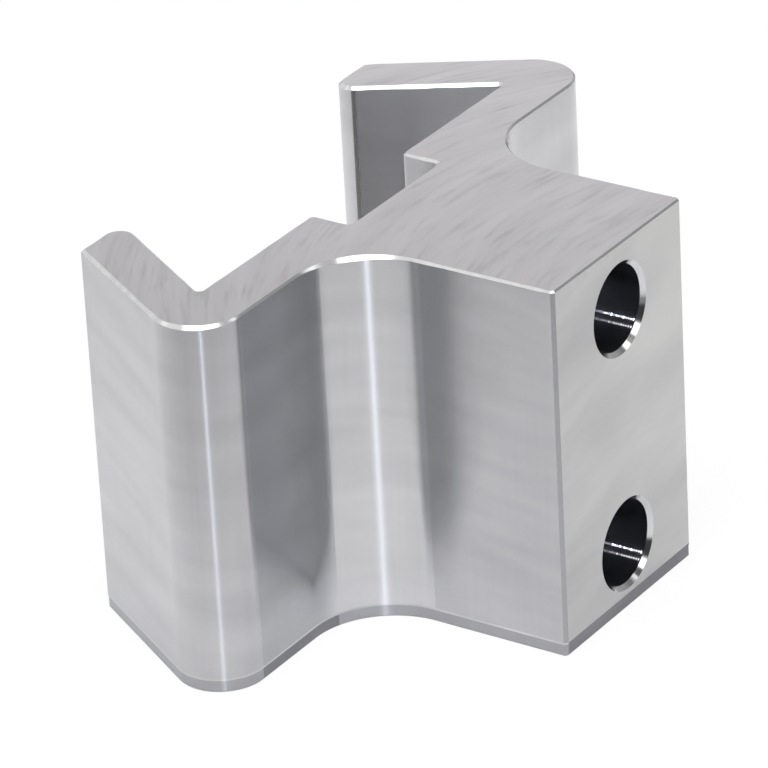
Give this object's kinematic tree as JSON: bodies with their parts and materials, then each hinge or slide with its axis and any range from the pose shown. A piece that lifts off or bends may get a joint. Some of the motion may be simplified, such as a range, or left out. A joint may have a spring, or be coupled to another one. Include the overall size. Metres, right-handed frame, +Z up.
{
  "type": "claw bracket",
  "caption": "Machined aluminium claw bracket: a drilled bolting block that spreads into a flange with hooked arms facing each other, to hold a flared rail or profile.",
  "frame": {"origin": "middle of the bolting face, halfway between the two bolt holes, on the plane of symmetry", "axes": "+X is the bolting face's outward normal and runs along the bolt holes; +Y runs across the arms; +Z is up, along the line of the two holes"},
  "size_m": [0.0462, 0.0694, 0.04],
  "materials": {
    "milled_aluminium": "fine milled, bare"
  },
  "bodies": {
    "root": {"claw_bracket": "milled_aluminium"}
  },
  "joints": []
}
